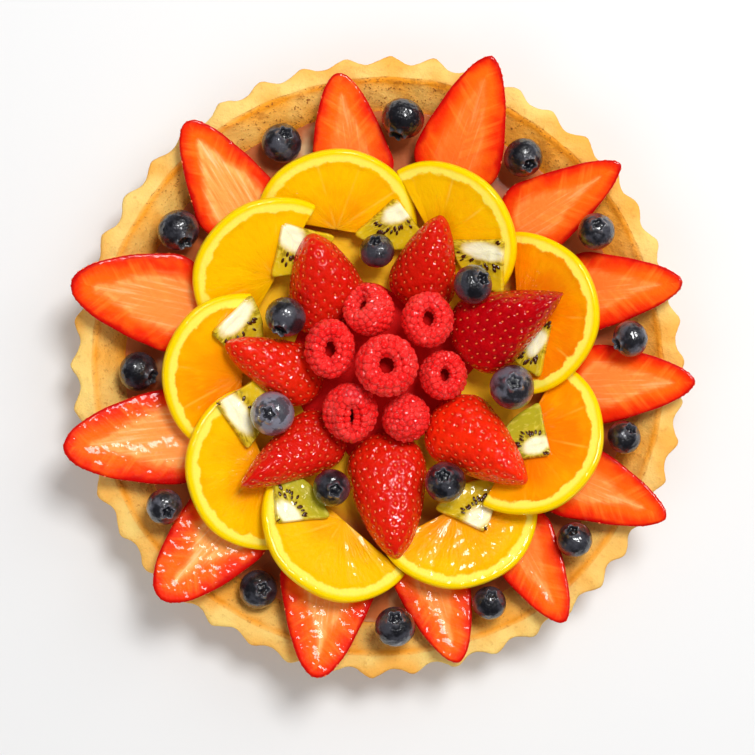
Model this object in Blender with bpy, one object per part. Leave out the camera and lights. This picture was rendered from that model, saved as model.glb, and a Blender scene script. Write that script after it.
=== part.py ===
"""A 23 cm fruit tart: a fluted pastry case filled with custard, dressed with fruit in three rings.

Frame: metres, +Z up, the origin at the centre of the underside of the case. Bearings run counter-clockwise
from +X. Every piece of fruit is laid from above and settles on what is already there.
"""

import math

import bpy
import numpy as np
from mathutils import Matrix, Vector
from mathutils.bvhtree import BVHTree

MM = 0.001

# Driving dimensions, in millimetres.
TART_RADIUS = 115.6
FLUTES = 45
FLUTE_DEPTH = 3.0
CREST_ROUNDING = 1.8
FIRST_CREST = 2.4
FLUTE_DRIFT = 2.6
OUT_OF_ROUND = 0.65
WALL_HEIGHT = 27.0
BASE_RADIUS = 105.0
BASE_THICKNESS = 5.0
RIM_WIDTH = 9.5
FILLING_RADIUS = 93.0
CUSTARD_EDGE = 19.0
CUSTARD_MIDDLE = 21.0
ORANGE_RADIUS = 30.2
ORANGE_THICKNESS = 4.0
KIWI_RADIUS = 20.0
KIWI_THICKNESS = 3.2
KIWI_SUNK = 0.5
KIWI_OPENING = 84.0
KIWI_BLUNT = 3.0
CLEARANCE = 0.4

# Shares of a strawberry's length or width: where its origin lies from the hull, where its shoulder ends, and
# how thick a slice and a half are.
BERRY_MIDDLE = 0.45
SHOULDER = 0.28
SLICE_THICKNESS = 0.26
HALF_THICKNESS = 0.38

# Colours of the pieces, linear RGB, and their roughness.
FINISHES = {
    "baked_pastry": ((0.80, 0.47, 0.17), 0.75),
    "custard": ((0.90, 0.70, 0.36), 0.35),
    "strawberry": ((0.80, 0.05, 0.01), 0.22),
    "orange": ((0.98, 0.45, 0.01), 0.22),
    "kiwi": ((0.55, 0.50, 0.03), 0.25),
    "blueberry": ((0.015, 0.018, 0.04), 0.3),
    "raspberry": ((0.75, 0.02, 0.02), 0.3),
}

# Outer ring, sliced strawberries with the cut side up: bearing and reach of the tip, heading of the tip,
# length, greatest width, how pointed the tip is, and how full the flanks are.
SLICED_STRAWBERRIES = (
    (98, 110, 99, 48, 32, 0.52, 1.0),
    (70, 122, 71, 54, 34, 0.58, 1.15),
    (40, 116.5, 31.5, 51, 29, 0.60, 1.15),
    (15.5, 116, 5, 48, 30, 0.54, 1.15),
    (-2.5, 116.5, 2, 48, 30, 0.56, 1.2),
    (-27.5, 119.5, -22, 52, 30, 0.56, 1.2),
    (-54, 116.5, -61, 49, 28, 0.56, 1.15),
    (-75, 113, -73, 47, 30, 0.55, 1.1),
    (-101.5, 116.5, -98, 50, 38, 0.50, 0.95),
    (-133.6, 117.5, -133, 52, 35.5, 0.48, 1.3),
    (-165.7, 120, -174, 56, 37, 0.50, 1.3),
    (164.5, 117.5, 168, 52, 37, 0.50, 1.3),
    (128, 115, 121, 48, 32, 0.50, 1.1),
)

# Half slices of orange in the order they are laid, each with its wedge of kiwi: bearing and reach of the
# orange's middle and the heading of its rind, then bearing, reach and heading of the kiwi's point.
ORANGES = (
    (107, 54.5, 80, 85, 65, 265),
    (139, 52, 152, 124, 67, 302),
    (182.5, 51.5, 175, 168, 66, 0),
    (220.5, 56.5, 202, 192, 64, -12),
    (256, 59, 229, 236, 72, 50),
    (-62, 60, -62, -58, 74, 112),
    (-25.5, 59, -28, -28, 73, 145),
    (20.5, 56, 4, 14, 68, 215),
    (64.5, 51.5, 28, 45, 69.5, 225),
)

# Middle ring, half strawberries with the skin up: as the slices above.
HALF_STRAWBERRIES = (
    (117, 57, 105, 40, 31, 0.58, 1.4),
    (66.5, 62.5, 70.5, 39, 26, 0.58, 1.3),
    (22.7, 74, 29, 47, 31, 0.80, 1.2),
    (-38, 71.5, -38, 47, 30, 0.66, 1.2),
    (-84.5, 72.5, -83, 49, 30.5, 0.62, 1.5),
    (-139, 69.8, -147, 48, 24.5, 0.70, 1.2),
    (171.5, 58.5, 157.5, 41, 24, 0.55, 1.2),
)

# Blueberries: bearing, reach and diameter, then the heading and lean of the crown in degrees.
OUTER_BLUEBERRIES = (
    (84.5, 91.5, 17.0, 250, 70),
    (113.5, 90.5, 15.6, 60, 30),
    (145.5, 89.5, 16.4, 300, 50),
    (181, 89, 15.8, 340, 60),
    (213, 93.5, 13.8, 320, 25),
    (241.5, 93.5, 15.0, 20, 20),
    (273.5, 95, 15.8, 90, 35),
    (295, 95.5, 13.2, 80, 35),
    (318.5, 95.5, 13.8, 110, 40),
    (344, 93.5, 13.0, 60, 40),
    (6.5, 92, 14.2, 200, 65),
    (32, 93.5, 14.4, 90, 20),
    (55.5, 93.5, 15.2, 300, 35),
)
INNER_BLUEBERRIES = (
    (91, 42.5, 13.6, 100, 35),
    (41.5, 45, 15.0, 30, 35),
    (-8.5, 48.5, 17.2, 80, 15),
    (-60, 48, 15.6, 110, 25),
    (248.5, 47, 14.4, 340, 15),
    (203.5, 42, 17.0, 180, 10),
    (151.5, 38.5, 15.6, 250, 50),
)

# Raspberries in the order they are laid: bearing, reach, breadth along X and along Y, then heading and lean of
# the hollow.
RASPBERRIES = (
    (98.5, 20.8, (20.0, 20.0), 140, 40),
    (159.5, 19.3, (19.8, 23.0), 300, 8),
    (298, 20.8, (19.0, 19.4), 0, 180),
    (236, 19.6, (22.6, 22.0), 290, 20),
    (-7, 23.2, (19.4, 18.8), 0, 6),
    (45, 24.2, (20.8, 21.4), 60, 10),
    (15, 2.8, (24.4, 24.0), 90, 4),
)


def turned(heading):
    """The unit vector in plan at a heading in degrees."""
    return Vector((math.cos(math.radians(heading)), math.sin(math.radians(heading)), 0))


def finish(name):
    """The material of that name, made once."""
    if name in bpy.data.materials:
        return bpy.data.materials[name]
    colour, roughness = FINISHES[name]
    material = bpy.data.materials.new(name)
    material.use_nodes = True
    shader = material.node_tree.nodes["Principled BSDF"]
    shader.inputs["Base Color"].default_value = (*colour, 1)
    shader.inputs["Roughness"].default_value = roughness
    return material


def solid(name, vertices, faces, material):
    """An object from vertices in millimetres and faces that wind outwards."""
    mesh = bpy.data.meshes.new(name)
    mesh.from_pydata([tuple(c * MM for c in v) for v in vertices], [], faces)
    mesh.materials.append(finish(material))
    mesh.shade_smooth()
    mesh.set_sharp_from_angle(angle=math.radians(40))
    obj = bpy.data.objects.new(name, mesh)
    bpy.context.collection.objects.link(obj)
    return obj


def lofted(rings):
    """Vertices and faces of a closed body through rings of points, from its lowest to its highest ring.

    Rings run counter-clockwise seen from above. A ring of one point closes the body as a fan, and a ring may
    have half as many points as the ring below it.
    """
    vertices, faces, starts = [], [], []
    for ring in rings:
        starts.append(len(vertices))
        vertices.extend(ring)
    for low, high in zip(range(len(rings) - 1), range(1, len(rings))):
        n, m = len(rings[low]), len(rings[high])
        a, b = starts[low], starts[high]
        if m == 1:
            faces.extend((a + i, a + (i + 1) % n, b) for i in range(n))
        elif n == 1:
            faces.extend((a, b + (i + 1) % m, b + i) for i in range(m))
        elif n == m:
            faces.extend((a + i, a + (i + 1) % n, b + (i + 1) % m, b + i) for i in range(n))
        else:
            for i in range(m):
                near, far = b + i, b + (i + 1) % m
                first, middle, last = a + 2 * i, a + 2 * i + 1, a + (2 * i + 2) % n
                faces.extend(((first, middle, near), (middle, far, near), (middle, last, far)))
    if len(rings[0]) > 1:
        faces.append(tuple(reversed(range(len(rings[0])))))
    if len(rings[-1]) > 1:
        faces.append(tuple(starts[-1] + i for i in range(len(rings[-1]))))
    return vertices, faces


# ---------------------------------------------------------------------------------------- the case


def flute(turn):
    """1 at the crest of a flute and 0 in the hollow between two; crests are narrower than hollows."""
    return 1 - abs(math.sin(math.radians(turn) * FLUTES / 2)) ** CREST_ROUNDING


def wave(turn, times, shift):
    return math.cos(math.radians(times * turn - shift))


def pastry_ring(radius, height, flute_depth, count):
    """A ring of the case, out of round and with its flutes drifting a little, as hand-pressed pastry is."""
    ring = []
    for i in range(count):
        turn = 360 * i / count
        bearing = turn + FIRST_CREST - FLUTE_DRIFT * wave(turn, 1, 60)
        round_by = OUT_OF_ROUND * (wave(turn, 2, 0) + wave(turn, 3, 30) + 0.5 * wave(turn, 8, 90))
        r = radius - flute_depth + flute_depth * flute(turn) - round_by
        lift = 0.3 * (wave(turn, 3, 70) + wave(turn, 7, 0)) if height > BASE_THICKNESS else 0
        way = turned(bearing) * r
        ring.append((way.x, way.y, height + lift))
    return ring


def pastry_case():
    fine, coarse = 4 * FLUTES, 2 * FLUTES
    inner_top = TART_RADIUS - RIM_WIDTH
    rings = (
        pastry_ring(BASE_RADIUS, 0, 0.6 * FLUTE_DEPTH, fine),
        pastry_ring(TART_RADIUS, WALL_HEIGHT - 3.5, FLUTE_DEPTH, fine),
        pastry_ring(TART_RADIUS - 2.6, WALL_HEIGHT - 0.6, 0.8 * FLUTE_DEPTH, fine),
        pastry_ring(inner_top, WALL_HEIGHT, 0, coarse),
        pastry_ring(inner_top - 3.5, WALL_HEIGHT - 2.2, 0, coarse),
        pastry_ring(FILLING_RADIUS, CUSTARD_EDGE - 1, 0, coarse),
        pastry_ring(FILLING_RADIUS - 2, BASE_THICKNESS, 0, coarse),
    )
    return solid("pastry_case", *lofted(rings), "baked_pastry")


def custard():
    count = FLUTES
    gap = CLEARANCE

    def ring(radius, height):
        return pastry_ring(radius, height, 0, count)

    rings = (
        [(x, y, BASE_THICKNESS + gap) for x, y, _ in ring(FILLING_RADIUS - 2 - gap, 0)],
        ring(FILLING_RADIUS - gap, CUSTARD_EDGE),
        [(x, y, CUSTARD_MIDDLE - 0.5) for x, y, _ in ring(0.6 * FILLING_RADIUS, 0)],
        [(0, 0, CUSTARD_MIDDLE)],
    )
    return solid("custard", *lofted(rings), "custard")


# -------------------------------------------------------------------------------------- strawberries


def berry_half_width(s, pointed, full):
    """Half width of a strawberry cut lengthwise, as a share of its greatest, from hull (0) to tip (1)."""
    if s < SHOULDER:
        return (1 - (1 - s / SHOULDER) ** 2.3) ** 0.6
    along = (s - SHOULDER) / (1 - SHOULDER)
    return (1 - along**full) ** pointed


def berry_outline(length, width, pointed, full, count=18):
    """The outline in plan, tip at +X, with the origin in the middle of the body."""
    outline = []
    for i in range(count):
        turn = 2 * math.pi * i / count
        s = (1 + math.cos(turn)) / 2
        side = math.copysign(width / 2, math.sin(turn))
        outline.append(((s - BERRY_MIDDLE) * length, side * berry_half_width(s, pointed, full)))
    return outline


def berry_body(name, length, width, pointed, full, thickness, cut_side_up):
    """A strawberry cut lengthwise: a flat cut face, and the rounded skin on the other side."""
    outline = berry_outline(length, width, pointed, full)
    shape = ((0.0, 1.0), (0.5, 0.94), (0.85, 0.7), (1.0, 0.38))
    rings = [[(x * f, y * f, q * thickness) for x, y in outline] for q, f in shape]
    if cut_side_up:
        rings = [[(x, y, -z) for x, y, z in ring] for ring in reversed(rings)]
    return solid(name, *lofted(rings), "strawberry")


# -------------------------------------------------------------------------------- oranges and kiwi


def half_slice(name):
    """Half a slice of orange, its rind towards +X and its cut edge on the Y axis."""
    steps = 14

    def ring(radius, height):
        turns = (math.radians(-90 + 180 * i / steps) for i in range(steps + 1))
        return [(radius * math.cos(t), radius * math.sin(t), height) for t in turns]

    t, soft = ORANGE_THICKNESS, 0.5
    rings = (
        ring(ORANGE_RADIUS - soft, 0),
        ring(ORANGE_RADIUS, 0.3 * t),
        ring(ORANGE_RADIUS, 0.75 * t),
        ring(ORANGE_RADIUS - soft, t),
    )
    return solid(name, *lofted(rings), "orange")


def kiwi_wedge(name, at, heading):
    """A wedge of a kiwi slice, its blunt point at the given place and its flesh towards the heading."""
    steps = 6
    start = -KIWI_OPENING / 2
    outline = [turned(start) * KIWI_BLUNT]
    outline += [turned(start + KIWI_OPENING * i / steps) * KIWI_RADIUS for i in range(steps + 1)]
    outline += [turned(-start) * KIWI_BLUNT]
    turn = Matrix.Rotation(math.radians(heading), 3, "Z")
    plan = [turn @ p + at for p in outline]
    low = ORANGE_THICKNESS - KIWI_SUNK
    rings = [[(p.x, p.y, z) for p in plan] for z in (low, low + KIWI_THICKNESS)]
    return solid(name, *lofted(rings), "kiwi")


def made_one(keep, add):
    """Joins add into keep by a Boolean union and removes add."""
    union = keep.modifiers.new("union", "BOOLEAN")
    union.operation = "UNION"
    union.object = add
    union.material_mode = "TRANSFER"
    keep.data.materials.append(add.data.materials[0])
    graph = bpy.context.evaluated_depsgraph_get()
    joined = bpy.data.meshes.new_from_object(keep.evaluated_get(graph))
    keep.modifiers.clear()
    keep.data = joined
    bpy.data.objects.remove(add)


# --------------------------------------------------------------------------------- round berries


def blueberry(name, diameter):
    """A slightly flat ball with a five-pointed crown round a dimple, crown at +Z."""
    count, radius = 10, diameter / 2
    profile = ((0.56, -0.70, 0), (0.95, -0.24, 0), (0.97, 0.2, 0), (0.70, 0.66, 0), (0.40, 0.84, 0.07))
    rings = [[(0, 0, -0.88 * radius)]]
    for r, z, star in profile + ((0.24, 0.72, 0),):
        ring = []
        for i in range(count):
            way = turned(360 * i / count) * radius * (r + (star if i % 2 else -star))
            ring.append((way.x, way.y, z * radius))
        rings.append(ring)
    rings.append([(0, 0, 0.70 * radius)])
    return solid(name, *lofted(rings), "blueberry")


def raspberry(name, breadths):
    """A raspberry with its hollow at +Z and its end at -Z, its drupelets as bumps that alternate by row."""
    count = 12
    wide, deep = breadths[0] / 2, breadths[1] / 2
    tall = (wide + deep) / 2
    outer = ((0.48, -0.88), (0.78, -0.5), (0.96, -0.02), (0.95, 0.42), (0.68, 0.76))
    inner = ((0.38, 0.66), (0.28, 0.1))
    rings = [[(0, 0, -1.04 * tall)]]
    for row, (r, z) in enumerate(outer + inner):
        bump = 0.045 if row < len(outer) else 0
        ring = []
        for i in range(count):
            way = turned(360 * i / count) * (r + (bump if (i + row) % 2 else -bump))
            ring.append((way.x * wide, way.y * deep, z * tall))
        rings.append(ring)
    rings.append([(0, 0, -0.05 * tall)])
    return solid(name, *lofted(rings), "raspberry")


# ------------------------------------------------------------------------------------- settling


class Stack:
    """Everything laid so far. A new piece is lowered onto it until it touches, less the clearance."""

    high = 200 * MM

    def __init__(self):
        self.pieces = []

    @staticmethod
    def world_mesh(obj):
        bpy.context.view_layer.update()
        points = [obj.matrix_world @ v.co for v in obj.data.vertices]
        return points, BVHTree.FromPolygons(points, [p.vertices for p in obj.data.polygons])

    def add(self, obj):
        points, tree = self.world_mesh(obj)
        array = np.array(points)
        self.pieces.append((array.min(0), array.max(0), array, tree))

    def height(self, x, y):
        """The top of the stack at a point, or None where it is bare."""
        best = None
        for low, high, _, tree in self.pieces:
            if not (low[0] <= x <= high[0] and low[1] <= y <= high[1]):
                continue
            if best is not None and high[2] <= best:
                continue
            hit = tree.ray_cast(Vector((x, y, self.high)), Vector((0, 0, -1)))[0]
            if hit is not None and (best is None or hit.z > best):
                best = hit.z
        return best

    def contact(self, obj, step):
        """Rows of x, y, underside of the piece, and top of the stack below it, over the piece's plan."""
        points, tree = self.world_mesh(obj)
        array = np.array(points)
        low, high = array.min(0), array.max(0)
        xs = np.arange(low[0] + step / 3, high[0], step)
        ys = np.arange(low[1] + step / 3, high[1], step)
        places = [(x, y) for x in xs for y in ys]
        for a, b, corners, _ in self.pieces:
            if (a[:2] < high[:2]).all() and (b[:2] > low[:2]).all():
                inside = ((corners[:, :2] > low[:2]) & (corners[:, :2] < high[:2])).all(1)
                places.extend(map(tuple, corners[inside, :2]))
        middle = array[:, :2].mean(0)
        places.extend(map(tuple, middle + (array[:, :2] - middle) * 0.999))
        rows = []
        for x, y in places:
            under = tree.ray_cast(Vector((x, y, -self.high)), Vector((0, 0, 1)))[0]
            top = self.height(x, y) if under is not None else None
            if top is not None:
                rows.append((x, y, under.z, top))
        return np.array(rows)

    @staticmethod
    def resting_slopes(rows, centre):
        """The slopes along X and Y at which the middle of the piece lies lowest."""
        dx, dy = rows[:, 0] - centre.x, rows[:, 1] - centre.y
        need = rows[:, 3] - rows[:, 2]
        best, reach = np.zeros(2), 0.32
        while reach > 0.002:
            slopes = np.linspace(-reach, reach, 17)
            a, b = (g.ravel() for g in np.meshgrid(best[0] + slopes, best[1] + slopes))
            lift = (need[None, :] - np.outer(a, dx) - np.outer(b, dy)).max(1)
            chosen = lift.argmin()
            best = np.array((a[chosen], b[chosen]))
            reach /= 4
        return best

    def lay(self, obj, at, heading=0.0, lean=None, rigid=True, step=1.2):
        """Turns the piece, places it over a point in millimetres, tips it to rest, and lowers it."""
        turn = Matrix.Rotation(math.radians(heading), 4, "Z")
        if lean is not None:
            turn = Matrix.Rotation(math.radians(lean[1]), 4, turned(lean[0] + 90)) @ turn
        obj.rotation_mode = "QUATERNION"
        obj.rotation_quaternion = turn.to_quaternion()
        obj.location = (at.x * MM, at.y * MM, 0)
        if rigid:
            a, b = self.resting_slopes(self.contact(obj, step * MM), obj.location)
            tip = Vector((0, 0, 1)).rotation_difference(Vector((-a, -b, 1)))
            obj.rotation_quaternion = tip @ obj.rotation_quaternion
        rows = self.contact(obj, step * MM)
        obj.location.z = (rows[:, 3] - rows[:, 2]).max() + CLEARANCE * MM
        self.add(obj)
        return obj


# ------------------------------------------------------------------------------------- assembly


def lay_berries(stack, prefix, table, thickness, cut_side_up):
    for number, (bearing, reach, heading, length, width, pointed, full) in enumerate(table, 1):
        name = f"{prefix}_{number:02d}"
        obj = berry_body(name, length, width, pointed, full, thickness * width, cut_side_up)
        middle = turned(bearing) * reach - turned(heading) * (1 - BERRY_MIDDLE) * length
        stack.lay(obj, middle, heading)


def lay_oranges(stack):
    for number, row in enumerate(ORANGES, 1):
        bearing, reach, heading, kiwi_bearing, kiwi_reach, kiwi_heading = row
        centre = turned(bearing) * reach
        obj = half_slice(f"orange_and_kiwi_{number:02d}")
        back = Matrix.Rotation(math.radians(-heading), 3, "Z")
        point = back @ (turned(kiwi_bearing) * kiwi_reach - centre)
        made_one(obj, kiwi_wedge("kiwi", point, kiwi_heading - heading))
        stack.lay(obj, centre, heading)


def lay_round(stack, prefix, make, table, rigid=False):
    for number, (bearing, reach, size, crown, lean) in enumerate(table, 1):
        obj = make(f"{prefix}_{number:02d}", size)
        stack.lay(obj, turned(bearing) * reach, 0, (crown, lean), rigid, 0.4)


def main():
    for obj in list(bpy.data.objects):
        bpy.data.objects.remove(obj)
    stack = Stack()
    stack.add(pastry_case())
    stack.add(custard())
    lay_berries(stack, "strawberry_slice", SLICED_STRAWBERRIES, SLICE_THICKNESS, True)
    lay_oranges(stack)
    lay_round(stack, "outer_blueberry", blueberry, OUTER_BLUEBERRIES)
    lay_berries(stack, "strawberry_half", HALF_STRAWBERRIES, HALF_THICKNESS, False)
    lay_round(stack, "raspberry", raspberry, RASPBERRIES)
    lay_round(stack, "inner_blueberry", blueberry, INNER_BLUEBERRIES)


main()
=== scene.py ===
"""A 23 cm fruit tart: fluted pastry, custard, and rings of glazed fruit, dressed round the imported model."""

import math

import bmesh
import bpy
import numpy as np
from mathutils import Matrix, Vector


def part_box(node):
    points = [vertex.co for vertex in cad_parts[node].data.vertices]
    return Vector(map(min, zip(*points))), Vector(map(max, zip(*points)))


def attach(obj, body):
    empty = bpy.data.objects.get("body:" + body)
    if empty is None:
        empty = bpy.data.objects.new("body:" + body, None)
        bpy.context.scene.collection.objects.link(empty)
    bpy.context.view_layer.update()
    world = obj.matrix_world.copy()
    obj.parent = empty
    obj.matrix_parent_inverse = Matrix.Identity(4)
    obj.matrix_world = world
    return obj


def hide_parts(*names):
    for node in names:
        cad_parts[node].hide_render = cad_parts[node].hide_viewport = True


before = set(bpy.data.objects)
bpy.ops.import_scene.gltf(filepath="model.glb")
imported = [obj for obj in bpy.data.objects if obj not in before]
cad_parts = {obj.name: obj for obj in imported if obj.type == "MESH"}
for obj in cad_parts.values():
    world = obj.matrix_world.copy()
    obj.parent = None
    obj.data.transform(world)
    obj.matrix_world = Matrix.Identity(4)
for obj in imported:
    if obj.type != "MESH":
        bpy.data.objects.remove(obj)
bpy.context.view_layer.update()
MM = 0.001

# ---------------- studio
# A pale table in a bright room, lit by a high window and a broad curtain from the upper right, and by a
# wall across from them. Only the window shows in wet surfaces. The camera hangs straight above the middle
# of the tart.

scene = bpy.context.scene
show = scene.collection.objects.link
TABLE_WIDTH = 4.0
CAMERA_HEIGHT = 0.75
# Name, width and power of each light, its distance, bearing and rise, and whether it shows in reflections.
LIGHTS = (("window", 0.36, 12, 1.3, 58, 64, True), ("curtain", 1.0, 6.0, 1.5, 40, 44, False),
          ("wall", 1.2, 6.0, 1.6, 235, 50, False))


def wire(place, kind, *values, out=0, **settings):
    """Adds a node to a tree or to a socket's tree, feeds its inputs in order, and returns one output.

    None leaves an input alone.
    """
    tree = place.id_data
    node = tree.nodes.new(kind)
    for key, value in settings.items():
        setattr(node, key, value)
    for socket, value in zip([s for s in node.inputs if s.enabled], values):
        if isinstance(value, bpy.types.NodeSocket):
            tree.links.new(value, socket)
        elif value is not None:
            socket.default_value = value
    return [s for s in node.outputs if s.enabled][out]


def shaded(name, roughness, specular=0.5, coat=(0, 0.03), soft=(0, (1, 0.2, 0.1), 0.05)):
    """A new material, its shader with plain values on its sockets, and its coordinates.

    coat is the weight and roughness of a clear coat, soft the weight, radius and scale of subsurface light.
    """
    material = bpy.data.materials.new(name)
    material.use_nodes = True
    shader = material.node_tree.nodes["Principled BSDF"]
    names = ("Roughness", "Specular IOR Level", "Coat Weight", "Coat Roughness", "Subsurface Weight",
             "Subsurface Radius", "Subsurface Scale")
    for key, value in zip(names, (roughness, specular, *coat, *soft)):
        shader.inputs[key].default_value = value
    here = wire(material.node_tree, "ShaderNodeTexCoord", out=3)
    return material, shader, here


table = bpy.data.meshes.new("table")
corners = ((-1, -1, 0), (1, -1, 0), (1, 1, 0), (-1, 1, 0))
table.from_pydata([Vector(corner) * TABLE_WIDTH / 2 for corner in corners], [], [(0, 1, 2, 3)])
white, shader, _ = shaded("white table", 0.9)
shader.inputs["Base Color"].default_value = (0.755, 0.755, 0.755, 1)
table.materials.append(white)
floor = bpy.data.objects.new("table", table)
show(floor)

room = bpy.data.worlds.new("room")
room.use_nodes = True
room.node_tree.nodes["Background"].inputs["Color"].default_value = (1, 1, 1, 1)
room.node_tree.nodes["Background"].inputs["Strength"].default_value = 0.36
room.cycles_visibility.glossy = False
scene.world = room

for name, width, power, distance, turn, rise, mirrored in LIGHTS:
    light = bpy.data.lights.new(name, "AREA")
    light.size = width
    light.energy = power
    lamp = bpy.data.objects.new(name, light)
    lamp.location = Matrix.Rotation(math.radians(turn), 3, "Z") @ Vector((
        distance * math.cos(math.radians(rise)), 0, distance * math.sin(math.radians(rise))))
    lamp.rotation_euler = lamp.location.to_track_quat("Z", "Y").to_euler()
    lamp.visible_glossy = mirrored
    show(lamp)

lens = bpy.data.cameras.new("camera")
lens.sensor_width = 36
lens.lens = 93.27
lens.shift_x = -0.0021
lens.shift_y = -0.0135
camera = bpy.data.objects.new("camera", lens)
camera.location = (0, 0, CAMERA_HEIGHT)
show(camera)
scene.camera = camera
scene.view_settings.view_transform = "Standard"

# ---------------- pastry case
# Shortcrust pressed into a fluted tin by hand and baked blind: a broad flat rim with a browned inner edge,
# and a rougher side that slopes in to the custard. Flutes and unevenness are pressed into a turned cup by
# nodes.

FLUTES = 45
FLUTE_DEPTH = 3.0 * MM
CREST_ROUNDING = 1.8
FIRST_CREST = math.radians(2.4)
FLUTE_DRIFT = math.radians(2.6)
OUT_OF_ROUND = 0.65 * MM
UNEVEN_FROM = 90 * MM
POINTS_PER_FLUTE = 16
# Noise at this level leaves the pastry where it is, so that most of the relief goes inwards.
MOSTLY_IN = 0.66
# The height in mm where the custard starts and, on the wall, the relief.
CUSTARD_FOOT = 5.5

# Radius and height of the cup's wall in mm, the share of the flutes' depth there and how brown it is, from
# the foot to the floor.
CASE_PROFILE = (
    (0, 0, 0, 0.5), (60, 0, 0, 0.5), (104.2, 0, 0.5, 0.6), (105.6, 0.5, 0.6, 0.6), (109.6, 10, 0.75, 0.35),
    (114.5, 22, 1, 0.3), (115.0, 24.2, 1, 0.25), (114.4, 26, 0.92, 0.1), (112.4, 26.8, 0.7, 0.05),
    (109.2, 27, 0.38, 0), (106.8, 27, 0.15, 0.05), (105.9, 26.7, 0.05, 0.45), (104.7, 26.2, 0, 0.7),
    (103.2, 25.1, 0, 0.4), (100.5, 23.4, 0, 0.3), (97.5, 21.2, 0, 0.35), (94.6, 18.9, 0, 0.6),
    (93, 17.3, 0, 1), (92.2, 12, 0, 1), (91.4, 6.2, 0, 1), (88, 5, 0, 1), (50, 5, 0, 1), (0, 5, 0, 1),
)


def curved(rows, steps):
    """Points on a smooth curve from the second row to the last but one, so many steps between two rows."""
    t = np.arange(steps)[:, None] / steps
    return np.vstack([
        0.5 * (2 * b + (c - a) * t + (2 * a - 5 * b + 4 * c - d) * t**2 + (3 * b - a - 3 * c + d) * t**3)
        for a, b, c, d in zip(rows, rows[1:], rows[2:], rows[3:])
    ])


def eased(points, steps):
    """Points on a smooth curve through rows of numbers, from the first row to the last."""
    rows = np.array(points, float)
    rows = np.vstack((2 * rows[0] - rows[1], rows, 2 * rows[-1] - rows[-2]))
    return np.vstack((curved(rows, steps), rows[-2:-1]))


def circle(count):
    """Even steps round a circle, in radians."""
    return np.arange(count) * 2 * math.pi / count


def turned(reach, height, turns):
    """Rings of points round the Z axis: a row of reaches and heights for each ring."""
    return np.stack(np.broadcast_arrays(reach * np.cos(turns), reach * np.sin(turns), height), -1)


def closed_mesh(name, rings, finish=None, **attributes):
    """A closed mesh through rings of equally many points; rings of no width become a seam or a pole.

    An attribute is a number or a vector for each point of each ring, or one for all of them.
    """
    rings = np.asarray(rings, float)
    count = rings.shape[1]
    index = np.arange(rings.shape[0] * count).reshape(-1, count)
    turned_on = np.roll(index, -1, 1)
    faces = np.stack((index[:-1], turned_on[:-1], turned_on[1:], index[1:]), -1).reshape(-1, 4)
    mesh = bpy.data.meshes.new(name)
    mesh.from_pydata(rings.reshape(-1, 3), [], faces.tolist())
    for key, values in attributes.items():
        values = np.asarray(values, np.float32)
        kind, socket = ("FLOAT_VECTOR", "vector") if values.ndim == 3 else ("FLOAT", "value")
        values = np.broadcast_to(values, rings.shape[:2] + values.shape[2:])
        mesh.attributes.new(key, kind, "POINT").data.foreach_set(socket, values.ravel())
    body = bmesh.new()
    body.from_mesh(mesh)
    bmesh.ops.remove_doubles(body, verts=body.verts, dist=0.002 * MM)
    bmesh.ops.dissolve_degenerate(body, edges=body.edges, dist=0.001 * MM)
    if body.calc_volume(signed=True) < 0:
        bmesh.ops.reverse_faces(body, faces=body.faces)
    body.to_mesh(mesh)
    body.free()
    mesh.shade_smooth()
    if finish:
        mesh.materials.append(finish)
    return mesh


def piece(name, mesh, slot, *nodes):
    """An object for a finished mesh. It rides on the tart, and stands for the solids of these nodes."""
    obj = bpy.data.objects.new(name, mesh)
    show(obj)
    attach(obj, "root")
    if nodes:
        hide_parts(*nodes)
    return obj


def node_tree(name, **inputs):
    """A Geometry Nodes tree with named inputs, and the sockets that give them."""
    tree = bpy.data.node_groups.new(name, "GeometryNodeTree")
    tree.interface.new_socket("Geometry", in_out="INPUT", socket_type="NodeSocketGeometry")
    for key, kind in inputs.items():
        tree.interface.new_socket(key.replace("_", " "), in_out="INPUT", socket_type="NodeSocket" + kind)
    tree.interface.new_socket("Geometry", in_out="OUTPUT", socket_type="NodeSocketGeometry")
    return tree, tree.nodes.new("NodeGroupInput").outputs


def made_real(tree, geometry, finish):
    """Plain smooth geometry with a material, from instances or the like."""
    geometry = wire(tree, "GeometryNodeRealizeInstances", geometry)
    geometry = wire(tree, "GeometryNodeSetShadeSmooth", geometry, True, True)
    return wire(tree, "GeometryNodeSetMaterial", geometry, True, finish)


def end_tree(tree, geometry):
    tree.links.new(geometry, tree.nodes.new("NodeGroupOutput").inputs[0])


def point_cloud(name, points, ways, sizes):
    """A mesh of loose points, each with a way to face and a size."""
    cloud = bpy.data.meshes.new(name)
    cloud.from_pydata([tuple(point) for point in points], [], [])
    for key, kind, socket, values in (
        ("way", "FLOAT_VECTOR", "vector", ways), ("size", "FLOAT", "value", sizes),
    ):
        attribute = cloud.attributes.new(key, kind, "POINT")
        attribute.data.foreach_set(socket, np.array(values, np.float32).ravel())
    return cloud


def grown(mesh, tree, **values):
    """The plain mesh that the tree makes of a mesh."""
    carrier = bpy.data.objects.new("carrier", mesh)
    show(carrier)
    modifier = carrier.modifiers.new(tree.name, "NODES")
    modifier.node_group = tree
    for item in tree.interface.items_tree:
        if item.in_out == "INPUT" and item.name.replace(" ", "_") in values:
            modifier[item.identifier] = values[item.name.replace(" ", "_")]
    graph = bpy.context.evaluated_depsgraph_get()
    result = bpy.data.meshes.new_from_object(carrier.evaluated_get(graph), depsgraph=graph)
    carrier.modifiers.clear()
    bpy.data.objects.remove(carrier)
    result.name = tree.name
    return result


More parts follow.
